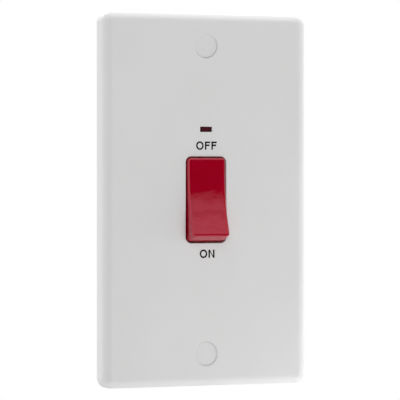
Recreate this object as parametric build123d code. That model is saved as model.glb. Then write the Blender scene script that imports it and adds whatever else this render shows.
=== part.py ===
from build123d import *
import os
from math import atan2, cos, radians, sin, sqrt, tan

# Double-pole cooker switch on an upright two-gang wall plate, modelled at OFF.
# Millimetres: X to the right, Y back into the wall, Z up.
# The origin is the middle of the plate, in the plane where its rim meets the wall.

# Front plate
plate_width = 86.0
plate_height = 146.0
plate_depth = 7.0
plate_corner_radius = 4.0
plate_bevel_width = 2.3
plate_bevel_depth = 1.6
plate_brow_radius = 4.6
plate_shoulder_radius = 1.6
face_thickness = 2.6
rim_thickness = 3.0
hollow_corner_radius = 1.5
rib_thickness = 1.2
rib_setback = 0.6
rib_side_inset = 12.0
rib_base_gap = 4.0

# Fixing holes and the push-in caps that cover them
fixing_centres = 120.6
fixing_hole_radius = 2.1
fixing_boss_wall = 2.0
cap_recess_radius = 4.65
cap_recess_depth = 3.6
cap_recess_edge = 0.45
cap_clearance = 0.08
cap_shift = 0.04
cap_setback = 0.05
cap_wall = 1.1
cap_edge = 0.25

# Rocker opening in the plate
opening_width = 17.0
opening_height = 33.8
opening_corner_radius = 2.2
opening_edge_radius = 0.4

# Rocker, with heights measured forwards from its pivot
rocker_tilt = 9.3
pivot_behind_face = 3.7
rocker_side_gap = 0.5
rocker_end_gap = 0.25
rocker_tip_inset = 1.5
rocker_end_turn = 12.0
rocker_mid_height = 5.6
rocker_dish_radius = 60.0
rocker_wall = 1.6
rocker_side_radius = 1.6
rocker_tip_radius = 0.9
rocker_skirt = 1.5
trunnion_radius = 1.5
trunnion_reach = 4.2
trunnion_end_gap = 0.3
bearing_length = 2.6
bearing_height = 6.6
bearing_split_gap = 0.1
running_clearance = 0.05

# Plungers and springs in the rocker's two tubes
pole_spacing = 10.0
tube_wall = 0.8
tube_length = 7.0
pocket_height = 3.8
plunger_radius = 1.75
plunger_reach = 10.0
plunger_engagement = 3.5
plunger_spigot_radius = 0.85
plunger_spigot_length = 1.2
spring_wire_radius = 0.28
spring_side_gap = 0.15
spring_end_gap = 0.05
spring_turns = 3
wire_sides = 6

# See-saw contacts
lever_tilt = 6.5
lever_width = 5.6
lever_thickness = 1.2
lever_corner_radius = 1.2
lever_end_margin = 2.6
lever_pin_radius = 1.0
tip_gap = 0.08
contact_z = 12.0
tip_head_radius = 2.2
tip_head_height = 1.0
tip_flat_radius = 1.0
tip_shank_radius = 1.0
tip_tail_radius = 1.5
tip_tail_height = 0.4
contact_gap = 0.3
assembly_clearance = 0.02

# Current strips that lie on the base's floor
strip_thickness = 1.2
strip_run = 8.0
strip_bend_radius = 1.0
strip_end_margin = 0.8
strip_tab_inset = 1.0
ear_thickness = 0.9
ear_gap = 0.3
ear_foot_height = 5.6
ear_rim = 1.0
stop_radius = 1.4
stop_gap = 0.12

# Pillar terminals and their screws
terminal_spacing = 19.0
terminal_width = 11.0
terminal_depth = 11.0
terminal_length = 12.0
terminal_bore_radius = 3.25
terminal_bore_wall = 1.5
terminal_edge = 0.5
screw_radius = 2.05
screw_backed_off = 0.3
screw_shank_length = 9.2
screw_head_radius = 3.8
screw_head_height = 3.0
screw_head_edge = 0.5
screw_slot_width = 1.0
screw_slot_depth = 1.3

# Moulded base behind the plate
base_wall = 2.2
base_floor = 2.4
base_corner_radius = 2.0
base_edge = 0.8
base_margin = 1.5
base_front_gap = 0.1
pocket_clearance = 0.2
barrier_thickness = 1.5
barrier_rocker_gap = 2.0
pocket_rib_thickness = 1.4
terminal_lip = 1.1
chimney_wall = 1.7
chimney_height = 7.0
chimney_clearance = 0.5
chimney_edge = 0.4
chimney_web_thickness = 1.6
chimney_web_height = 3.0
terminal_post_radius = 2.0
terminal_post_gap = 0.1

# Screws that hold the base to the plate
lug_spacing = 30.0
lug_offset = 4.0
lug_radius = 3.5
lug_thickness = 3.0
lug_screw_radius = 1.45
lug_screw_grip = 4.0
lug_screw_head_radius = 2.8
lug_screw_head_height = 2.0
lug_hole_clearance = 0.2
pilot_end_gap = 0.5

# Neon indicator above the rocker
lens_z = 27.6
lens_width = 5.1
lens_height = 2.1
lens_clearance = 0.08
lens_setback = 0.6
lens_flange_margin = 2.1
lens_flange_thickness = 1.2
lens_flange_corner = 0.8
lamp_radius = 2.1
lamp_end_radius = 1.4
lamp_length = 11.0
lamp_gap = 0.15
lead_radius = 0.3
lead_bend_radius = 1.2
lead_run = 5.0
resistor_radius = 1.15
resistor_end_bevel = 0.4
resistor_length = 5.5
resistor_gap = 1.0
resistor_lead_run = 1.6

# Earth terminal on the back of the plate
earth_z = -46.0
earth_size = 9.0
earth_seat_setback = 0.6
earth_bore_radius = 2.4
earth_bore_wall = 1.3
earth_screw_radius = 1.7
earth_screw_shank = 6.2
earth_screw_head_radius = 3.2
earth_screw_head_height = 2.5
earth_clip_thickness = 1.6
earth_clip_width = 7.0
earth_clip_reach = 5.0
earth_clip_gap = 0.1

# Levels along Y, from the face back to the base
face_y = -plate_depth
inner_y = face_y + face_thickness
pivot_y = face_y + pivot_behind_face
lens_back_y = inner_y + lens_flange_thickness
lamp_y = lens_back_y + lamp_gap + lamp_radius
lever_y = pivot_y + plunger_reach + plunger_radius + tip_gap + lever_thickness
lever_sin = sin(radians(lever_tilt))
lever_cos = cos(radians(lever_tilt))
contact_y = lever_y + contact_z * lever_sin + tip_head_height * lever_cos
strip_y = contact_y + contact_gap + tip_head_height
floor_y = strip_y + strip_thickness
base_back_y = floor_y + base_floor
chimney_y = base_back_y + chimney_height
terminal_y = floor_y - terminal_depth
bore_y = terminal_y + terminal_bore_wall + terminal_bore_radius

# Places along X and Z
pole_x = pole_spacing / 2
terminal_x = terminal_spacing / 2
terminal_z = contact_z + strip_run
terminal_end_z = terminal_z + terminal_length
terminal_mid_z = terminal_z + terminal_length / 2
fixed_tip_z = contact_z * lever_cos - tip_head_height * lever_sin
base_inner_x = terminal_x + terminal_width / 2 + pocket_clearance
base_half_width = base_inner_x + base_wall
base_half_height = terminal_end_z + base_margin
base_inner_z = base_half_height - base_wall
pocket_x = terminal_x - terminal_width / 2 - pocket_clearance
chimney_radius = screw_head_radius + chimney_clearance
lug_x = base_half_width + lug_offset
lug_z = lug_spacing / 2

# Rocker, from its pivot
rocker_half = opening_width / 2 - rocker_side_gap
rocker_end_radius = opening_height / 2 - rocker_end_gap
rocker_tip_z = opening_height / 2 - rocker_tip_inset
pocket_radius = plunger_radius + running_clearance
trunnion_end = rocker_half + trunnion_reach
bearing_x = (trunnion_end + trunnion_end_gap - bearing_length, trunnion_end + trunnion_end_gap)
plunger_start = tube_length - plunger_engagement

rocker_pose = Pos(0, pivot_y, 0) * Rot(-rocker_tilt, 0, 0)
pick_slack = 0.01
sides = (-1, 1)
corners = [(x, z) for x in sides for z in sides]
poles = {"line": -1, "neutral": 1}


def block(x, y, z):
    """Box between a pair of limits on each axis."""
    middle = [sum(pair) / 2 for pair in (x, y, z)]
    size = [abs(pair[1] - pair[0]) for pair in (x, y, z)]
    return Pos(*middle) * Box(*size)


def rod_x(radius, x, y, z):
    return Pos(sum(x) / 2, y, z) * Rot(0, 90, 0) * Cylinder(radius, abs(x[1] - x[0]))


def rod_y(radius, x, y, z):
    return Pos(x, sum(y) / 2, z) * Rot(90, 0, 0) * Cylinder(radius, abs(y[1] - y[0]))


def rod_z(radius, x, y, z):
    return Pos(x, y, sum(z) / 2) * Cylinder(radius, abs(z[1] - z[0]))


def slab(outline, y):
    """Outline seen from the front, taken from y[0] back to y[1]."""
    return Pos(0, y[1], 0) * Rot(90, 0, 0) * extrude(outline, y[1] - y[0])


def across(profile, middle_x, width):
    """Profile drawn in Y and Z, given a width along X."""
    return Pos(middle_x, 0, 0) * extrude(Plane.YZ * profile, width / 2, both=True)


def turned(points):
    """Solid turned about Y; each point is a radius and a distance along Y."""
    outline = Polyline((0, points[0][1]), *points, (0, points[-1][1]), close=True)
    return revolve(make_face(outline), Axis.Y)


def edges_in_plane(solid, y, half_x, half_z, middle_z=0):
    """Edges that lie at depth y, inside a rectangle seen from the front."""
    found = []
    for edge in solid.edges():
        low, high = edge.bounding_box().min, edge.bounding_box().max
        at_depth = abs(low.Y - y) < pick_slack and abs(high.Y - y) < pick_slack
        in_width = max(-low.X, high.X) < half_x + pick_slack
        in_height = max(middle_z - low.Z, high.Z - middle_z) < half_z + pick_slack
        if at_depth and in_width and in_height:
            found.append(edge)
    return found


def front_plate():
    """White moulded plate: hollow behind, with its rim against the wall."""
    shell = plate_outside()
    hollow_width = plate_width - 2 * rim_thickness
    hollow_height = plate_height - 2 * rim_thickness
    shell -= slab(RectangleRounded(hollow_width, hollow_height, hollow_corner_radius), (inner_y, 0))

    added = plate_ribs() + plate_bosses() + bearing_saddles() + earth_seat()
    opening = RectangleRounded(opening_width, opening_height, opening_corner_radius)
    window_z = (lens_z - lens_height / 2, lens_z + lens_height / 2)
    removed = [
        slab(opening, (face_y, inner_y)),
        block((-lens_width / 2, lens_width / 2), (face_y, inner_y), window_z),
        rod_x(trunnion_radius + running_clearance, (-bearing_x[1], bearing_x[1]), pivot_y, 0),
    ]
    recess_y = face_y + cap_recess_depth
    for side in sides:
        z = side * fixing_centres / 2
        removed.append(rod_y(fixing_hole_radius, 0, (recess_y, 0), z))
        removed.append(rod_y(cap_recess_radius, 0, (face_y, recess_y), z))
    pilot_y = (-lug_screw_grip - pilot_end_gap, 0)
    for sx, sz in corners:
        removed.append(rod_y(lug_screw_radius + assembly_clearance, sx * lug_x, pilot_y, sz * lug_z))
    plate = shell + added - removed

    mouth = edges_in_plane(plate, face_y, opening_width / 2, opening_height / 2)
    plate = fillet(mouth, opening_edge_radius)
    for side in sides:
        z = side * fixing_centres / 2
        rim = edges_in_plane(plate, face_y, cap_recess_radius, cap_recess_radius, z)
        plate = chamfer(rim, cap_recess_edge)
    return plate


def plate_outside():
    """Slab with a bevel round its front, eased into the face and, more tightly, into the sides."""
    outline = RectangleRounded(plate_width, plate_height, plate_corner_radius)
    shell = slab(outline, (face_y, 0))
    face = shell.faces().sort_by(Axis.Y)[0]
    shell = chamfer(face.edges(), plate_bevel_width, plate_bevel_depth, reference=face)
    slope = atan2(plate_bevel_depth, plate_bevel_width)
    corner_room = (plate_corner_radius - plate_bevel_width - pick_slack) / tan(slope / 2)
    brow = edges_in_plane(shell, face_y, plate_width / 2, plate_height / 2)
    shell = fillet(brow, min(plate_brow_radius, corner_room))
    shoulder = edges_in_plane(shell, face_y + plate_bevel_depth, plate_width / 2, plate_height / 2)
    return fillet(shoulder, plate_shoulder_radius)


def plate_ribs():
    """Stiffening ribs behind the face, around the mechanism."""
    y = (inner_y, -rib_setback)
    half_width = (plate_width - rim_thickness) / 2
    half_height = (plate_height - rim_thickness) / 2
    rib_x = half_width - rib_side_inset
    rib_z = base_half_height + rib_base_gap
    ribs = []
    for side in sides:
        x_limits = (side * rib_x - rib_thickness / 2, side * rib_x + rib_thickness / 2)
        ribs.append(block(x_limits, y, (-half_height, half_height)))
        for z in (side * rib_z, side * fixing_centres / 2):
            z_limits = (z - rib_thickness / 2, z + rib_thickness / 2)
            ribs.append(block((-half_width, half_width), y, z_limits))
    return ribs


def plate_bosses():
    """Bosses for the fixing holes and the base's screws, and posts that hold the terminals down."""
    boss_radius = cap_recess_radius + fixing_boss_wall
    bosses = [rod_y(boss_radius, 0, (inner_y, 0), side * fixing_centres / 2) for side in sides]
    post_y = (inner_y, terminal_y - terminal_post_gap)
    post_z = terminal_z + terminal_edge + terminal_post_radius
    for sx, sz in corners:
        bosses.append(rod_y(lug_radius, sx * lug_x, (inner_y, 0), sz * lug_z))
        bosses.append(rod_y(terminal_post_radius, sx * terminal_x, post_y, sz * post_z))
    return bosses


def bearing_saddles():
    """Front halves of the trunnion bearings."""
    z = (-bearing_height / 2, bearing_height / 2)
    return [block((side * bearing_x[0], side * bearing_x[1]), (inner_y, pivot_y), z) for side in sides]


def earth_seat():
    """Pad and two clips for the earth terminal."""
    half = earth_size / 2
    seat = [block((-half, half), (inner_y, -earth_seat_setback), (earth_z - half, earth_z + half))]
    clip_x = (-earth_clip_width / 2, earth_clip_width / 2)
    for side in sides:
        start = earth_z + side * (half + earth_clip_gap)
        clip_z = (start, start + side * earth_clip_thickness)
        seat.append(block(clip_x, (inner_y, earth_clip_reach), clip_z))
    return seat


def screw_cap(side):
    """Cup that stands on a fixing recess's floor, a little off its middle."""
    radius = cap_recess_radius - cap_clearance
    front = face_y + cap_setback
    back = face_y + cap_recess_depth
    cap = rod_y(radius, 0, (front, back), 0)
    cap = chamfer(edges_in_plane(cap, front, radius, radius), cap_edge)
    cap -= rod_y(radius - cap_wall, 0, (front + cap_wall, back), 0)
    return Pos(-cap_shift, 0, side * (fixing_centres / 2 + cap_shift)) * cap


def rocker_profile():
    """Side view about the pivot: a dished face between two flats, with ends that clear the opening."""
    slope = radians(rocker_tilt)
    bend_z = rocker_dish_radius * sin(slope)
    bend_y = -rocker_mid_height - rocker_dish_radius * (1 - cos(slope))
    tip_y = bend_y - (rocker_tip_z - bend_z) * tan(slope)
    end_y = -rocker_end_radius * sin(radians(rocker_end_turn))
    end_z = rocker_end_radius * cos(radians(rocker_end_turn))
    skirt_z = sqrt(rocker_end_radius**2 - rocker_skirt**2)
    lines = [
        ThreePointArc((bend_y, -bend_z), (-rocker_mid_height, 0), (bend_y, bend_z)),
        Line((rocker_skirt, -skirt_z), (rocker_skirt, skirt_z)),
    ]
    for side in sides:
        lines.append(Line((bend_y, side * bend_z), (tip_y, side * rocker_tip_z)))
        lines.append(Line((tip_y, side * rocker_tip_z), (end_y, side * end_z)))
        through = (0, side * rocker_end_radius)
        lines.append(ThreePointArc((end_y, side * end_z), through, (rocker_skirt, side * skirt_z)))
    return make_face(lines)


def rocker():
    """Red rocker: a hollow moulding with trunnions and two tubes for the plungers."""
    profile = rocker_profile()
    body = across(profile, 0, 2 * rocker_half)
    front = body.edges().filter_by(Axis.X).sort_by(Axis.Y)[:2]
    body = fillet(front, rocker_tip_radius)
    on_side = [e for e in body.edges() if abs(abs(e.center().X) - rocker_half) < pick_slack]
    rounded = [e for e in on_side if e.center().Y < rocker_skirt - pick_slack]
    body = fillet(rounded, rocker_side_radius)

    inner = offset(profile, -rocker_wall, kind=Kind.INTERSECTION)
    mouth = Pos(rocker_skirt, 0) * Rectangle(2 * rocker_wall, 2 * (rocker_end_radius - rocker_wall))
    hollow = across(inner + mouth, 0, 2 * (rocker_half - rocker_wall))
    tubes, pockets, trunnions = [], [], []
    tube_y = (rocker_wall / 2 - rocker_mid_height, tube_length)
    for side in sides:
        x = side * pole_x
        tubes.append(rod_y(pocket_radius + tube_wall, x, tube_y, 0))
        pockets.append(rod_y(pocket_radius, x, (-pocket_height, tube_length), 0))
        trunnion = (side * (rocker_half - rocker_wall), side * trunnion_end)
        trunnions.append(rod_x(trunnion_radius, trunnion, 0, 0))
    return rocker_pose * (body - hollow + tubes + trunnions - pockets)


def plunger(side):
    """Nylon plunger with a round nose, and a spigot inside its spring."""
    nose_y = plunger_reach + plunger_radius
    spigot_y = plunger_start - plunger_spigot_length
    shank = Polyline(
        (0, nose_y),
        (0, spigot_y),
        (plunger_spigot_radius, spigot_y),
        (plunger_spigot_radius, plunger_start),
        (plunger_radius, plunger_start),
        (plunger_radius, plunger_reach),
    )
    half = sqrt(0.5) * plunger_radius
    nose = ThreePointArc((plunger_radius, plunger_reach), (half, plunger_reach + half), (0, nose_y))
    return rocker_pose * Pos(side * pole_x, 0, 0) * revolve(make_face([shank, nose]), Axis.Y)


def plunger_spring(side):
    """Coil spring between a tube's blind end and its plunger."""
    radius = pocket_radius - spring_side_gap - spring_wire_radius
    start = -pocket_height + spring_end_gap + spring_wire_radius
    length = plunger_start - spring_end_gap - spring_wire_radius - start
    coil = Helix(length / spring_turns, length, radius, (side * pole_x, start, 0), (0, 1, 0))
    section = (coil ^ 0) * RegularPolygon(spring_wire_radius, wire_sides)
    wire = sweep(section, coil, is_frenet=True)
    return rocker_pose * wire


def lever_pose(side):
    return Pos(side * pole_x, lever_y, 0) * Rot(lever_tilt, 0, 0)


def moving_contact(side):
    """See-saw strip with a cross pin that rocks in the cradle."""
    length = 2 * (contact_z + lever_end_margin)
    strip = slab(RectangleRounded(lever_width, length, lever_corner_radius), (-lever_thickness, 0))
    pin_half = lever_width / 2 + ear_gap + ear_thickness
    pin = rod_x(lever_pin_radius, (-pin_half, pin_half), 0, 0)
    hole = rod_y(tip_shank_radius + assembly_clearance, 0, (-lever_thickness, 0), contact_z)
    return lever_pose(side) * (strip + pin - hole)


def moving_tip(side):
    """Silver rivet through the lever, flat at the back."""
    front = -lever_thickness
    rivet = turned([
        (tip_tail_radius, front - tip_tail_height),
        (tip_tail_radius, front),
        (tip_shank_radius, front),
        (tip_shank_radius, 0),
        (tip_head_radius, 0),
        (tip_head_radius, tip_head_height),
    ])
    return lever_pose(side) * Pos(0, 0, contact_z) * rivet


def fixed_tip(side):
    """Silver rivet in the fixed strip, with a bevelled head."""
    rivet = turned([
        (tip_flat_radius, -tip_head_height),
        (tip_head_radius, -tip_head_height / 2),
        (tip_head_radius, 0),
        (tip_shank_radius, 0),
        (tip_shank_radius, strip_thickness),
    ])
    return Pos(side * pole_x, strip_y, fixed_tip_z) * rivet


def folded_strip(side, start, end):
    """Strip along the base's floor from z = start to a terminal, folded forwards against it at z = end."""
    step = strip_thickness if end < start else -strip_thickness
    tab_y = terminal_y + strip_tab_inset
    outline = Polyline(
        (strip_y, start),
        (floor_y, start),
        (floor_y, end),
        (tab_y, end),
        (tab_y, end + step),
        (strip_y, end + step),
        close=True,
    )
    face = make_face(outline)
    outer = face.vertices().sort_by_distance((floor_y, end))[0]
    face = fillet(outer, strip_bend_radius + strip_thickness)
    inner = face.vertices().sort_by_distance((strip_y, end + step))[0]
    return across(fillet(inner, strip_bend_radius), side * pole_x, lever_width)


def fixed_contact(side):
    """Strip from the fixed contact to the load terminal."""
    strip = folded_strip(side, fixed_tip_z - tip_head_radius - strip_end_margin, terminal_z)
    hole = rod_y(tip_shank_radius + assembly_clearance, side * pole_x, (strip_y, floor_y), fixed_tip_z)
    return strip - hole


def contact_cradle(side):
    """Strip from the supply terminal to the two ears that carry the lever's pin."""
    foot = ear_foot_height / 2
    strip = folded_strip(side, foot, -terminal_z)
    pad_width = lever_width + 2 * (ear_gap + ear_thickness)
    pad_x = (side * pole_x - pad_width / 2, side * pole_x + pad_width / 2)
    pad = block(pad_x, (strip_y, floor_y), (-foot, foot))

    front = lever_y - lever_pin_radius
    seat = lever_pin_radius + running_clearance
    top = seat + ear_rim
    ear = make_face(Polyline((strip_y, -foot), (strip_y, foot), (front, top), (front, -top), close=True))
    ear -= Pos(lever_y, 0) * Circle(seat)
    ear -= Pos(front, 0) * Rectangle(2 * lever_pin_radius, 2 * seat)
    ear_x = (lever_width + ear_thickness) / 2 + ear_gap
    ears = [across(ear, side * pole_x + hand * ear_x, ear_thickness) for hand in sides]

    stop_y = lever_y + (contact_z + stop_radius) * tan(radians(lever_tilt)) + stop_gap
    stop = rod_y(stop_radius, side * pole_x, (stop_y, strip_y), -contact_z)
    return strip + pad + ears + stop


def pillar_terminal(sx, sz):
    """Brass block with a bore for the conductor and a hole for the screw behind it."""
    x = (sx * terminal_x - terminal_width / 2, sx * terminal_x + terminal_width / 2)
    z = (sz * terminal_z, sz * terminal_end_z)
    body = block(x, (terminal_y, floor_y), z)
    body = chamfer(body.edges(), terminal_edge)
    body -= rod_z(terminal_bore_radius, sx * terminal_x, bore_y, z)
    hole = (bore_y, floor_y)
    return body - rod_y(screw_radius + running_clearance, sx * terminal_x, hole, sz * terminal_mid_z)


def slotted_screw(radius, shank, head_radius, head_height):
    """Cheese-head screw along Y with its tip at the origin."""
    top = shank + head_height
    screw = turned([
        (radius - running_clearance, 0),
        (radius, radius / 2),
        (radius, shank),
        (head_radius, shank),
        (head_radius, top - screw_head_edge),
        (head_radius - screw_head_edge, top),
    ])
    slot_x = (-screw_slot_width / 2, screw_slot_width / 2)
    return screw - block(slot_x, (top - screw_slot_depth, top), (-head_radius, head_radius))


def terminal_screws():
    """Four clamping screws, backed out so that the bores are open."""
    tip_y = bore_y + terminal_bore_radius + screw_backed_off
    screw = slotted_screw(screw_radius, screw_shank_length, screw_head_radius, screw_head_height)
    return [Pos(sx * terminal_x, tip_y, sz * terminal_mid_z) * screw for sx, sz in corners]


def base_fixing_screws():
    """Four screws through the base's lugs into the plate."""
    shank = lug_screw_grip + lug_thickness
    screw = slotted_screw(lug_screw_radius, shank, lug_screw_head_radius, lug_screw_head_height)
    return [Pos(sx * lug_x, -lug_screw_grip, sz * lug_z) * screw for sx, sz in corners]


def mechanism_base():
    """Moulded housing, open towards the plate, with a chamber for each pole."""
    front_y = inner_y + base_front_gap
    outline = RectangleRounded(2 * base_half_width, 2 * base_half_height, base_corner_radius)
    shell = slab(outline, (front_y, base_back_y))
    shell = chamfer(edges_in_plane(shell, base_back_y, base_half_width, base_half_height), base_edge)
    shell -= block((-base_inner_x, base_inner_x), (front_y, floor_y), (-base_inner_z, base_inner_z))

    added, removed = [], []
    middle = barrier_thickness / 2
    added.append(block((-middle, middle), (rocker_back_y(), floor_y), (-base_inner_z, base_inner_z)))
    for side in sides:
        post_x = (side * bearing_x[0], side * base_half_width)
        post_z = (-bearing_height / 2, bearing_height / 2)
        added.append(block(post_x, (pivot_y + bearing_split_gap, floor_y), post_z))
        added.append(chimney_web(side))
    for sx, sz in corners:
        add_terminal_pocket(added, removed, sx, sz)
        add_lug(added, removed, sx, sz)
    removed.append(rod_x(trunnion_radius + running_clearance, (-bearing_x[1], bearing_x[1]), pivot_y, 0))
    removed += lamp_notch()
    return shell + added - removed


def rocker_back_y():
    """Depth that the rocker's skirt never reaches, at either end of its travel."""
    reach = rocker_end_radius * sin(radians(rocker_tilt)) + rocker_skirt * cos(radians(rocker_tilt))
    return pivot_y + reach + barrier_rocker_gap


def chimney_web(side):
    """Web that ties the two chimneys at one end of the base."""
    y = (base_back_y, base_back_y + chimney_web_height)
    z = side * terminal_mid_z
    half = chimney_web_thickness / 2
    return block((-terminal_x, terminal_x), y, (z - half, z + half))


def add_terminal_pocket(added, removed, sx, sz):
    """Rib, open mouth and screw chimney round one terminal."""
    rib_x = (sx * (pocket_x - pocket_rib_thickness), sx * pocket_x)
    rib_z = (sz * (terminal_z + pocket_clearance), sz * base_inner_z)
    rib_front = lens_back_y + base_front_gap if sz > 0 else terminal_y
    added.append(block(rib_x, (rib_front, floor_y), rib_z))

    mouth_x = (sx * pocket_x, sx * base_inner_x)
    mouth_y = terminal_y - pocket_clearance
    seat_z = (sz * terminal_z, sz * (terminal_end_z + pocket_clearance))
    removed.append(block(mouth_x, (mouth_y, floor_y), seat_z))
    way_out = (sz * terminal_end_z, sz * base_half_height)
    removed.append(block(mouth_x, (mouth_y, floor_y - terminal_lip), way_out))

    place = (sx * terminal_x, sz * terminal_mid_z)
    outer = chimney_radius + chimney_wall
    chimney = rod_y(outer, 0, (base_back_y, chimney_y), 0)
    chimney = chamfer(edges_in_plane(chimney, chimney_y, outer, outer), chimney_edge)
    added.append(Pos(place[0], 0, place[1]) * chimney)
    removed.append(rod_y(chimney_radius, place[0], (floor_y, chimney_y), place[1]))


def add_lug(added, removed, sx, sz):
    """Lug that sits on one of the plate's bosses."""
    z = sz * lug_z
    y = (0, lug_thickness)
    web_x = (sx * (base_half_width - base_wall / 2), sx * lug_x)
    added.append(rod_y(lug_radius, sx * lug_x, y, z))
    added.append(block(web_x, y, (z - lug_radius, z + lug_radius)))
    removed.append(rod_y(lug_screw_radius + lug_hole_clearance, sx * lug_x, y, z))


def lamp_notch():
    """Round-bottomed notch in the upper ribs that the lamp drops into from the front."""
    seat = lamp_radius + lamp_gap
    half_length = (lamp_length + lead_run) / 2
    entry_z = (lens_z - seat, lens_z + seat)
    entry = block((-half_length, half_length), (inner_y, lamp_y), entry_z)
    return [rod_x(seat, (-half_length, half_length), lamp_y, lens_z), entry]


def neon_lens():
    """Red window: a nose in the plate and a flange behind it."""
    nose_x = (lens_clearance - lens_width / 2, lens_width / 2 - lens_clearance)
    nose_half = lens_height / 2 - lens_clearance
    nose = block(nose_x, (face_y + lens_setback, inner_y), (lens_z - nose_half, lens_z + nose_half))
    flange_width = lens_width + 2 * lens_flange_margin
    flange_height = lens_height + 2 * lens_flange_margin
    flange = Pos(0, lens_z) * RectangleRounded(flange_width, flange_height, lens_flange_corner)
    return nose + slab(flange, (inner_y, lens_back_y))


def neon_lamp():
    half = lamp_length / 2
    glass = rod_x(lamp_radius, (-half, half), lamp_y, lens_z)
    return fillet(glass.edges().filter_by(GeomType.CIRCLE), lamp_end_radius)


def neon_resistor():
    start = lamp_length / 2 + resistor_gap
    body = rod_x(resistor_radius, (start, start + resistor_length), lamp_y, lens_z)
    return chamfer(body.edges().filter_by(GeomType.CIRCLE), resistor_end_bevel)


def bent_lead(start_x, end_x):
    """Lead along X, then back to the front of a terminal."""
    points = [(start_x, lamp_y, lens_z), (end_x, lamp_y, lens_z), (end_x, terminal_y, lens_z)]
    path = FilletPolyline(*points, radius=lead_bend_radius)
    return sweep((path ^ 0) * RegularPolygon(lead_radius, wire_sides), path)


def neon_lead_line():
    start = -lamp_length / 2
    return bent_lead(start, start - lead_run)


def neon_lead_neutral():
    """Link from the lamp to the resistor, and the lead from there to the terminal."""
    start = lamp_length / 2
    link = rod_x(lead_radius, (start, start + resistor_gap), lamp_y, lens_z)
    end = start + resistor_gap + resistor_length
    return [link, bent_lead(end, end + resistor_lead_run)]


def earth_terminal():
    """Brass block with its bore across the plate."""
    half = earth_size / 2
    seat_y = -earth_seat_setback
    body = block((-half, half), (seat_y, seat_y + earth_size), (earth_z - half, earth_z + half))
    body = chamfer(body.edges(), terminal_edge)
    earth_bore_y = seat_y + earth_bore_wall + earth_bore_radius
    body -= rod_x(earth_bore_radius, (-half, half), earth_bore_y, earth_z)
    hole = (earth_bore_y, seat_y + earth_size)
    return body - rod_y(earth_screw_radius + running_clearance, 0, hole, earth_z)


def earth_screw():
    tip_y = -earth_seat_setback + earth_bore_wall + 2 * earth_bore_radius + screw_backed_off
    screw = slotted_screw(
        earth_screw_radius, earth_screw_shank, earth_screw_head_radius, earth_screw_head_height
    )
    return Pos(0, tip_y, earth_z) * screw


pieces = {
    "front_plate": front_plate(),
    "upper_screw_cap": screw_cap(1),
    "lower_screw_cap": screw_cap(-1),
    "rocker": rocker(),
    "mechanism_base": mechanism_base(),
    "base_fixing_screws": base_fixing_screws(),
    "terminal_screws": terminal_screws(),
    "neon_lens": neon_lens(),
    "neon_lamp": neon_lamp(),
    "neon_resistor": neon_resistor(),
    "neon_lead_line": neon_lead_line(),
    "neon_lead_neutral": neon_lead_neutral(),
    "earth_terminal": earth_terminal(),
    "earth_screw": earth_screw(),
}
for pole, side in poles.items():
    pieces[f"plunger_{pole}"] = plunger(side)
    pieces[f"plunger_spring_{pole}"] = plunger_spring(side)
    pieces[f"moving_contact_{pole}"] = moving_contact(side)
    pieces[f"moving_tip_{pole}"] = moving_tip(side)
    pieces[f"fixed_contact_{pole}"] = fixed_contact(side)
    pieces[f"fixed_tip_{pole}"] = fixed_tip(side)
    pieces[f"contact_cradle_{pole}"] = contact_cradle(side)
    pieces[f"load_terminal_{pole}"] = pillar_terminal(side, 1)
    pieces[f"supply_terminal_{pole}"] = pillar_terminal(side, -1)

os.makedirs("parts", exist_ok=True)
for name, piece in pieces.items():
    solid = Compound(children=piece) if isinstance(piece, list) else piece
    export_step(solid, f"parts/{name}.step")
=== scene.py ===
from math import cos, radians, sin

import bmesh
import bpy
from mathutils import Matrix, Vector


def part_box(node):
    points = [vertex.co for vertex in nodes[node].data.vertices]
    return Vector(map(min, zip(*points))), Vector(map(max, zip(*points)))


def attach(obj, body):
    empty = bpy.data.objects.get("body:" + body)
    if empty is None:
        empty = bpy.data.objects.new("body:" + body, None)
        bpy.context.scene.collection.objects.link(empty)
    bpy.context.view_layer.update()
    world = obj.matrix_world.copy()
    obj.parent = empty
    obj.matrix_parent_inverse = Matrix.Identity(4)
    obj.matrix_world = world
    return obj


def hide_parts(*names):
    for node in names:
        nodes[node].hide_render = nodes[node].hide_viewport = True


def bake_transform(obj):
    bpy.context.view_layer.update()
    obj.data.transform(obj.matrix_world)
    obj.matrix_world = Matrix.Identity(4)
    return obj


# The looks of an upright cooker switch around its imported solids, in metres.
# X runs to the right, Y back into the wall and Z up; the plate's rim lies at Y = 0.
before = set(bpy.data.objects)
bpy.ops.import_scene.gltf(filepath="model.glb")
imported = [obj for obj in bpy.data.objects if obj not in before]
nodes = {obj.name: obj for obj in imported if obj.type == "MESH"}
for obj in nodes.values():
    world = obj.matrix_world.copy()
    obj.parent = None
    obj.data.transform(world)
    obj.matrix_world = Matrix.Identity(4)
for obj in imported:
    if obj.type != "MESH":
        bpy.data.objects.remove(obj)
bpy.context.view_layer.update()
MM = 0.001

# Camera, as the photograph was taken
image_side_px = 400
focal_length_px = 2621
sensor_width_mm = 36
camera_azimuth = radians(-22.47)
camera_elevation = radians(0.47)
camera_distance = 1.033
camera_aim = Vector((0.24, -0.1, -0.14)) * MM
camera_near = 0.01

# Lettering on the face
face_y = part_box("front_plate")[0].y
print_thickness = 0.02 * MM
letter_height = 3.2 * MM
letter_stroke = 0.64 * MM
letter_gap = 0.52 * MM
round_overshoot = 0.1 * MM
round_sides = 48
o_width = 3.2 * MM
f_width = 2.25 * MM
f_arm_reach = 2.0 * MM
f_arm_height = 1.42 * MM
n_width = 2.55 * MM
n_lead = 0.58 * MM
n_rise = 0.78 * MM
off_middle = (0.1 * MM, 21.2 * MM)
on_middle = (0.4 * MM, -21.15 * MM)

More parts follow.
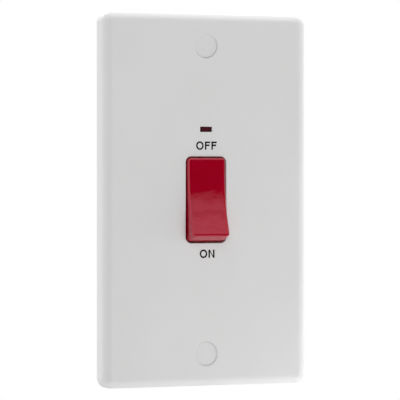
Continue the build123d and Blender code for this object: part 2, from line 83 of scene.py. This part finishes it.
# Screw caps, level with the foot of the chamfer round their recesses
cap_setback = 0.45 * MM
cap_edge = 0.05 * MM
cap_edge_segments = 3
cap_wall = 1.1 * MM
cap_sides = 96
cap_sharp_angle = radians(40)

# Turn that stands a flat shape upright, so that it faces the front or the back
upright = Matrix.Rotation(radians(90), 3, "X")

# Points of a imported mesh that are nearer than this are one
merge_distance = 0.001 * MM

# Range that most of a noise lies in
noise_low = 0.3
noise_high = 0.7

# Stretch of the marks on rolled and drawn metal, which run along Z
along_z = (1, 1, 0.08)

# Resistor's lacquer and its brown, green, yellow and gold bands, by their share of its length
resistor_tan = (0.55, 0.4, 0.24)
resistor_band_width = 0.09
resistor_bands = {
    0.18: (0.12, 0.04, 0.015),
    0.36: (0.02, 0.2, 0.05),
    0.54: (0.75, 0.5, 0.02),
    0.78: (0.5, 0.35, 0.1),
}

# Floor under the object
floor_z = -0.6
floor_radius = 1.9
floor_sides = 96
floor_cloud_size = 0.3

# Strength of the soft light from all round, and how wide the change from front to back is
air_in_front = 0.1
air_behind = 0.5
air_turn = 0.3

# Soft boxes, as place, side and watts
soft_boxes = {
    "behind_above": ((0, 0.14, 0.89), 0.4, 7.7),
    "left_rim": ((-0.85, 0.3, 0), 0.4, 2.2),
    "left": ((-0.9, 0, 0), 0.4, 0.6),
    "right_rim": ((0.9, 0, 0), 0.4, 4.4),
    "right_front": ((0.8, -0.4, 0), 0.4, 0.7),
    "front_left": ((-0.45, -1.1, 0.2), 0.6, 3.25),
    "front_right": ((0.35, -0.85, 0.1), 0.5, 1.65),
    "front_above": ((-0.3, -0.75, 0.75), 0.6, 1.6),
    "low": ((0.06, -0.04, -0.13), 0.1, 0.026),
}

# Dark card round the camera's side, as radius and height of its upper and lower edge,
# the angles that it reaches to, and how clear it is at some heights
card_top = (1.3, 0.95)
card_foot = (0.25, -0.24)
card_from = radians(-45)
card_to = radians(110)
card_steps = 24
card_clearness = {
    0: 0, 0.13: 0, 0.14: 0.25, 0.2: 0.4, 0.25: 0.65, 0.34: 0.74,
    0.39: 0.57, 0.46: 0.52, 0.52: 0.7, 0.7: 0.88, 0.9: 1,
}


def set_sockets(node, **sockets):
    """Sets input sockets of a node; spaces in their names are written as underscores."""
    for name, value in sockets.items():
        node.inputs[name.replace("_", " ")].default_value = value


def new_node(tree, kind, **sockets):
    """New node with some of its input sockets set."""
    node = tree.nodes.new(kind)
    set_sockets(node, **sockets)
    return node


def new_finish(name):
    """New material, with its node tree and its shader."""
    material = bpy.data.materials.new(name)
    material.use_nodes = True
    return material, material.node_tree, material.node_tree.nodes["Principled BSDF"]


def object_space(tree, stretch=(1, 1, 1)):
    """Object coordinates, stretched along each axis."""
    place = new_node(tree, "ShaderNodeTexCoord")
    mapping = new_node(tree, "ShaderNodeMapping", Scale=stretch)
    tree.links.new(place.outputs["Object"], mapping.inputs["Vector"])
    return mapping.outputs["Vector"]


def one_axis(tree, vector, axis):
    """One coordinate of a vector."""
    parts = new_node(tree, "ShaderNodeSeparateXYZ")
    tree.links.new(vector, parts.inputs["Vector"])
    return parts.outputs[axis]


def taken_to(tree, value, from_low, from_high, to_low=0, to_high=1):
    """Value taken from one range to another."""
    ranged = new_node(
        tree, "ShaderNodeMapRange",
        From_Min=from_low, From_Max=from_high, To_Min=to_low, To_Max=to_high,
    )
    tree.links.new(value, ranged.inputs["Value"])
    return ranged.outputs["Result"]


def grain(tree, size, detail=2, stretch=(1, 1, 1)):
    """Noise between 0 and 1 whose marks are about the given size in metres."""
    noise = new_node(tree, "ShaderNodeTexNoise", Scale=1 / size, Detail=detail)
    tree.links.new(object_space(tree, stretch), noise.inputs["Vector"])
    return noise.outputs["Fac"]


def spread(tree, noise, low, high):
    """Noise taken to the range from low to high."""
    return taken_to(tree, noise, noise_low, noise_high, low, high)


def mottle(tree, shader, first, second, size, detail=2):
    """Gives a shader a colour that drifts between two tints, in clouds of the given size."""
    mix = new_node(tree, "ShaderNodeMix")
    mix.data_type = "RGBA"
    tints = [socket for socket in mix.inputs if socket.type == "RGBA"]
    tints[0].default_value = (*first, 1)
    tints[1].default_value = (*second, 1)
    tree.links.new(spread(tree, grain(tree, size, detail), 0, 1), mix.inputs["Factor"])
    colour = next(socket for socket in mix.outputs if socket.type == "RGBA")
    tree.links.new(colour, shader.inputs["Base Color"])


def polish(tree, shader, low, high, size, detail=2):
    """Gives a shader a roughness that drifts from low to high, in patches of the given size."""
    tree.links.new(spread(tree, grain(tree, size, detail), low, high), shader.inputs["Roughness"])


def relief(tree, shader, layers):
    """Bump from pairs of noise and depth, one on top of the other."""
    normal = None
    for height, depth in layers:
        bump = new_node(tree, "ShaderNodeBump", Strength=1, Distance=depth)
        tree.links.new(height, bump.inputs["Height"])
        if normal:
            tree.links.new(normal, bump.inputs["Normal"])
        normal = bump.outputs["Normal"]
    tree.links.new(normal, shader.inputs["Normal"])


def colour_ramp(tree, factor, stops, interpolation="LINEAR"):
    """Colours along a factor, from a table of places and colours that starts at 0."""
    ramp = new_node(tree, "ShaderNodeValToRGB")
    ramp.color_ramp.interpolation = interpolation
    elements = ramp.color_ramp.elements
    elements.remove(elements[1])
    for place, colour in stops.items():
        element = elements.new(place) if place else elements[0]
        element.color = (*colour, 1)
    tree.links.new(factor, ramp.inputs["Fac"])
    return ramp.outputs["Color"]


def mixed(tree, share, first, second):
    """Shader that goes from the first to the second as the share goes from 0 to 1."""
    mix = new_node(tree, "ShaderNodeMixShader")
    tree.links.new(share, mix.inputs["Fac"])
    tree.links.new(first, mix.inputs[1])
    tree.links.new(second, mix.inputs[2])
    return mix.outputs["Shader"]


def let_through(tree, shader, share):
    """Makes a finish as clear as the share says, from 0 for solid to 1 for clear."""
    clear = new_node(tree, "ShaderNodeBsdfTransparent")
    surface = mixed(tree, share, shader.outputs["BSDF"], clear.outputs["BSDF"])
    tree.links.new(surface, tree.nodes["Material Output"].inputs["Surface"])


def white_moulding():
    """Glossy white thermoset of the plate and its caps."""
    material, tree, shader = new_finish("white_moulding")
    mottle(tree, shader, (0.765, 0.765, 0.762), (0.785, 0.785, 0.784), 30 * MM)
    polish(tree, shader, 0.28, 0.33, 4 * MM, detail=3)
    relief(tree, shader, [(grain(tree, 8 * MM), 0.008 * MM), (grain(tree, 0.6 * MM), 0.0006 * MM)])
    return material


def red_moulding():
    """Polished red plastic of the rocker, with the slight ripple of a moulded surface."""
    material, tree, shader = new_finish("red_moulding")
    mottle(tree, shader, (0.375, 0.0002, 0.0125), (0.405, 0.0004, 0.0155), 8 * MM)
    polish(tree, shader, 0.04, 0.08, 0.8 * MM, detail=4)
    set_sockets(shader, IOR=1.7, Specular_IOR_Level=1, Specular_Tint=(1, 0.37, 0.46, 1))
    relief(tree, shader, [(grain(tree, 5 * MM), 0.14 * MM), (grain(tree, 0.5 * MM), 0.003 * MM)])
    return material


def printed_ink():
    """Near-black pad print of the two words."""
    material, tree, shader = new_finish("printed_ink")
    mottle(tree, shader, (0.004, 0.004, 0.005), (0.008, 0.008, 0.009), 0.3 * MM, detail=3)
    polish(tree, shader, 0.45, 0.6, 0.2 * MM)
    set_sockets(shader, Specular_IOR_Level=0.2)
    return material


def cream_moulding():
    """Satin off-white plastic of the base."""
    material, tree, shader = new_finish("cream_moulding")
    mottle(tree, shader, (0.7, 0.665, 0.58), (0.755, 0.725, 0.645), 12 * MM, detail=3)
    polish(tree, shader, 0.38, 0.5, 1 * MM, detail=4)
    relief(tree, shader, [(grain(tree, 4 * MM), 0.01 * MM), (grain(tree, 0.25 * MM), 0.004 * MM)])
    return material


def red_window():
    """Deep red clear plastic of the indicator's window."""
    material, tree, shader = new_finish("red_window")
    mottle(tree, shader, (0.12, 0.004, 0.014), (0.16, 0.006, 0.02), 2 * MM)
    polish(tree, shader, 0.08, 0.2, 0.5 * MM)
    set_sockets(shader, Transmission_Weight=0.6, IOR=1.58)
    return material


def lamp_glass():
    """Clear glass of the neon lamp."""
    material, tree, shader = new_finish("lamp_glass")
    mottle(tree, shader, (0.93, 0.95, 0.94), (0.97, 0.98, 0.97), 3 * MM)
    polish(tree, shader, 0.01, 0.05, 1 * MM)
    set_sockets(shader, Transmission_Weight=0.95, IOR=1.5)
    return material


def banded_resistor():
    """Tan lacquer with four coloured bands along X."""
    material, tree, shader = new_finish("banded_resistor")
    low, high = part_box("neon_resistor")
    share = taken_to(tree, one_axis(tree, object_space(tree), "X"), low.x, high.x)
    stops = {0: resistor_tan}
    for start, colour in resistor_bands.items():
        stops[start] = colour
        stops[start + resistor_band_width] = resistor_tan
    tree.links.new(colour_ramp(tree, share, stops, "CONSTANT"), shader.inputs["Base Color"])
    polish(tree, shader, 0.25, 0.4, 0.4 * MM)
    return material


def black_nylon():
    """Satin black nylon of the plungers."""
    material, tree, shader = new_finish("black_nylon")
    mottle(tree, shader, (0.012, 0.012, 0.013), (0.026, 0.026, 0.027), 1.5 * MM)
    polish(tree, shader, 0.35, 0.5, 0.4 * MM)
    return material


def metal(name, bright, dull, roughness, stretch=(1, 1, 1)):
    """Metal with a drifting tint and fine marks, drawn out where the stretch is small."""
    material, tree, shader = new_finish(name)
    set_sockets(shader, Metallic=1)
    mottle(tree, shader, bright, dull, 2.5 * MM, detail=3)
    marks = grain(tree, 0.25 * MM, 3, stretch)
    tree.links.new(spread(tree, marks, *roughness), shader.inputs["Roughness"])
    relief(tree, shader, [(marks, 0.002 * MM)])
    return material


def slot_finishes():
    """One finish for each material slot of the record."""
    return {
        "plate_white": white_moulding(),
        "rocker_red": red_moulding(),
        "base_cream": cream_moulding(),
        "lens_red": red_window(),
        "neon_glass": lamp_glass(),
        "resistor_body": banded_resistor(),
        "tinned_wire": metal("tinned_wire", (0.72, 0.71, 0.68), (0.6, 0.59, 0.57), (0.25, 0.4)),
        "nylon_black": black_nylon(),
        "spring_steel": metal("spring_steel", (0.6, 0.58, 0.54), (0.48, 0.46, 0.43), (0.2, 0.35)),
        "copper": metal("rolled_copper", (0.86, 0.47, 0.3), (0.7, 0.35, 0.21), (0.22, 0.38), along_z),
        "silver": metal("silver_contact", (0.9, 0.88, 0.84), (0.76, 0.74, 0.7), (0.15, 0.3)),
        "brass": metal("drawn_brass", (0.83, 0.62, 0.29), (0.7, 0.5, 0.21), (0.2, 0.36), along_z),
        "plated_steel": metal("zinc_plate", (0.74, 0.74, 0.76), (0.6, 0.61, 0.64), (0.22, 0.38)),
    }


def dress_nodes():
    """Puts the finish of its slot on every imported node."""
    finishes = slot_finishes()
    for node in nodes.values():
        for slot in node.material_slots:
            slot.material = finishes[slot.material.name]


def new_piece(name, bm, material):
    """New object with a bmesh's shape, which is then freed, and one finish."""
    mesh = bpy.data.meshes.new(name)
    bm.to_mesh(mesh)
    bm.free()
    mesh.materials.append(material)
    piece = bpy.data.objects.new(name, mesh)
    bpy.context.scene.collection.objects.link(piece)
    return piece


def draw_out(bm, faces, way):
    """Extrudes faces and moves the new ones."""
    grown = bmesh.ops.extrude_face_region(bm, geom=faces)["geom"]
    moved = [item for item in grown if isinstance(item, bmesh.types.BMVert)]
    bmesh.ops.translate(bm, verts=moved, vec=way)


def flat_outline(bm, corners):
    """Face on the plate with the given corners, as X and Z."""
    bm.faces.new([bm.verts.new((x, face_y, z)) for x, z in corners])


def letter_o(bm):
    """Oval ring, a little taller than the straight letters."""
    rings = []
    for inset in (0, letter_stroke):
        half_width = o_width / 2 - inset
        half_height = letter_height / 2 + round_overshoot - inset
        ring = bmesh.ops.create_circle(bm, cap_ends=False, segments=round_sides, radius=1)["verts"]
        bmesh.ops.rotate(bm, verts=ring, matrix=upright)
        bmesh.ops.scale(bm, verts=ring, vec=(half_width, 1, half_height))
        bmesh.ops.translate(bm, verts=ring, vec=(o_width / 2, face_y, letter_height / 2))
        rings.extend({edge for vert in ring for edge in vert.link_edges})
    bmesh.ops.bridge_loops(bm, edges=rings)
    return o_width


def letter_f(bm):
    """Stem with two arms."""
    arm_low = f_arm_height
    arm_high = f_arm_height + letter_stroke
    top_low = letter_height - letter_stroke
    flat_outline(bm, [
        (0, 0), (letter_stroke, 0), (letter_stroke, arm_low), (f_arm_reach, arm_low),
        (f_arm_reach, arm_high), (letter_stroke, arm_high), (letter_stroke, top_low),
        (f_width, top_low), (f_width, letter_height), (0, letter_height),
    ])
    return f_width


def letter_n(bm):
    """Two stems and a slanting stroke between them."""
    right = n_width - letter_stroke
    flat_outline(bm, [
        (0, 0), (letter_stroke, 0), (letter_stroke, letter_height - n_rise), (n_width - n_lead, 0),
        (n_width, 0), (n_width, letter_height), (right, letter_height), (right, n_rise),
        (n_lead, letter_height), (0, letter_height),
    ])
    return n_width


def lettering(name, letters, middle, ink):
    """Word printed on the face, with its middle at the given X and Z."""
    bm = bmesh.new()
    reach = 0
    for letter in letters:
        before = set(bm.verts)
        width = letter(bm)
        added = [vert for vert in bm.verts if vert not in before]
        bmesh.ops.translate(bm, verts=added, vec=(reach, 0, 0))
        reach += width + letter_gap
    start_x = middle[0] - (reach - letter_gap) / 2
    start_z = middle[1] - letter_height / 2
    bmesh.ops.translate(bm, verts=bm.verts, vec=(start_x, 0, start_z))
    draw_out(bm, bm.faces, (0, -print_thickness, 0))
    bmesh.ops.recalc_face_normals(bm, faces=bm.faces)
    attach(new_piece(name, bm, ink), "plate_and_base")


def set_back_cap(node_name, name):
    """Push-in cap with a crisp edge and a hollow back, in the place of its solid but set further back."""
    low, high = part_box(node_name)
    middle = (low + high) / 2
    radius = (high.x - low.x) / 2
    depth = high.y - face_y - cap_setback
    bm = bmesh.new()
    bmesh.ops.create_cone(
        bm, cap_ends=True, segments=cap_sides, radius1=radius, radius2=radius, depth=depth
    )
    bmesh.ops.rotate(bm, verts=bm.verts, matrix=upright)
    bmesh.ops.translate(bm, verts=bm.verts, vec=(middle.x, high.y - depth / 2, middle.z))
    front = min(bm.faces, key=lambda face: face.calc_center_median().y)
    back = max(bm.faces, key=lambda face: face.calc_center_median().y)
    bmesh.ops.bevel(
        bm, geom=front.edges, offset=cap_edge, segments=cap_edge_segments,
        profile=0.5, affect="EDGES", material=-1,
    )
    bmesh.ops.inset_region(bm, faces=[back], thickness=cap_wall)
    draw_out(bm, [back], (0, cap_wall - depth, 0))
    bmesh.ops.delete(bm, geom=[back], context="FACES_ONLY")
    bmesh.ops.recalc_face_normals(bm, faces=bm.faces)
    cap = new_piece(name, bm, nodes[node_name].material_slots[0].material)
    cap.data.shade_smooth()
    cap.data.set_sharp_from_angle(angle=cap_sharp_angle)
    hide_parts(node_name)
    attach(cap, "plate_and_base")


def shortening_spring(pole):
    """Coil spring between the rocker and the plunger of its pole, as a smooth-shaded copy of its solid
    that takes its place.
    """
    node = nodes[f"plunger_spring_{pole}"]
    bm = bmesh.new()
    bm.from_mesh(node.data)
    bmesh.ops.remove_doubles(bm, verts=bm.verts, dist=merge_distance)
    spring = new_piece(f"coil_spring_{pole}", bm, node.material_slots[0].material)
    spring.data.shade_smooth()
    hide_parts(node.name)
    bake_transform(spring)


def studio_floor():
    """Pale floor, clear from below."""
    material, tree, shader = new_finish("pale_floor")
    mottle(tree, shader, (0.84, 0.84, 0.84), (0.86, 0.86, 0.86), floor_cloud_size)
    set_sockets(shader, Roughness=0.9)
    underside = new_node(tree, "ShaderNodeNewGeometry").outputs["Backfacing"]
    let_through(tree, shader, underside)
    bm = bmesh.new()
    bmesh.ops.create_circle(bm, cap_ends=True, radius=floor_radius, segments=floor_sides)
    bmesh.ops.translate(bm, verts=bm.verts, vec=(0, 0, floor_z))
    new_piece("floor", bm, material)


def dark_card():
    """Dark curved card on the camera's side, which shows only in gloss."""
    material, tree, shader = new_finish("dark_card")
    set_sockets(shader, Base_Color=(0.002, 0.002, 0.002, 1), Roughness=1, Specular_IOR_Level=0)
    greys = {height: (clear, clear, clear) for height, clear in card_clearness.items()}
    let_through(tree, shader, colour_ramp(tree, one_axis(tree, object_space(tree), "Z"), greys))
    bm = bmesh.new()
    ends = [bm.verts.new((0, -radius, height)) for radius, height in (card_top, card_foot)]
    edge = bm.edges.new(ends)
    bmesh.ops.rotate(bm, verts=ends, matrix=Matrix.Rotation(card_from, 3, "Z"))
    bmesh.ops.spin(
        bm, geom=[*ends, edge], axis=(0, 0, 1), angle=card_to - card_from,
        steps=card_steps, use_merge=False,
    )
    card = new_piece("dark_card", bm, material)
    card.visible_camera = False
    card.visible_diffuse = False
    card.visible_transmission = False
    card.visible_shadow = False


def studio_air():
    """Soft light from all round, stronger from behind, which cameras, gloss and glass see as white."""
    world = bpy.data.worlds.new("studio_air")
    bpy.context.scene.world = world
    world.use_nodes = True
    tree = world.node_tree
    tree.nodes.clear()
    path = new_node(tree, "ShaderNodeLightPath")
    seen = path.outputs["Is Camera Ray"]
    for kind in ("Is Glossy Ray", "Is Transmission Ray"):
        either = new_node(tree, "ShaderNodeMath")
        either.operation = "MAXIMUM"
        tree.links.new(seen, either.inputs[0])
        tree.links.new(path.outputs[kind], either.inputs[1])
        seen = either.outputs["Value"]
    way = new_node(tree, "ShaderNodeTexCoord").outputs["Generated"]
    level = taken_to(tree, one_axis(tree, way, "Y"), -air_turn, air_turn, air_in_front, air_behind)
    soft = new_node(tree, "ShaderNodeBackground", Color=(1, 1, 1, 1))
    tree.links.new(level, soft.inputs["Strength"])
    white = new_node(tree, "ShaderNodeBackground", Color=(1, 1, 1, 1), Strength=1)
    light = mixed(tree, seen, soft.outputs["Background"], white.outputs["Background"])
    out = new_node(tree, "ShaderNodeOutputWorld")
    tree.links.new(light, out.inputs["Surface"])


def set_up(item, place, way):
    """Puts a lamp or a camera into the scene at its place, facing the given way."""
    item.location = place
    item.rotation_euler = way.to_track_quat("-Z", "Y").to_euler()
    bpy.context.scene.collection.objects.link(item)


def studio_lights():
    """Square area lights that face the object, unseen by the camera and in gloss."""
    for name, (place, side, watts) in soft_boxes.items():
        data = bpy.data.lights.new(name, "AREA")
        data.size = side
        data.energy = watts
        lamp = bpy.data.objects.new(name, data)
        lamp.visible_camera = False
        lamp.visible_glossy = False
        set_up(lamp, place, -Vector(place))


def camera():
    """Camera at the photograph's viewing angle, which the scene then looks through."""
    data = bpy.data.cameras.new("camera")
    data.sensor_width = sensor_width_mm
    data.lens = sensor_width_mm * focal_length_px / image_side_px
    data.clip_start = camera_near
    viewer = bpy.data.objects.new("camera", data)
    level = cos(camera_elevation)
    back = Vector((sin(camera_azimuth) * level, -cos(camera_azimuth) * level, sin(camera_elevation)))
    set_up(viewer, camera_aim + camera_distance * back, -back)
    bpy.context.scene.camera = viewer


dress_nodes()
ink = printed_ink()
lettering("off_lettering", [letter_o, letter_f, letter_f], off_middle, ink)
lettering("on_lettering", [letter_o, letter_n], on_middle, ink)
for end in ("upper", "lower"):
    set_back_cap(f"{end}_screw_cap", f"{end}_push_in_cap")
for pole in ("line", "neutral"):
    shortening_spring(pole)
studio_floor()
dark_card()
studio_air()
studio_lights()
camera()
bpy.context.scene.view_settings.view_transform = "Standard"
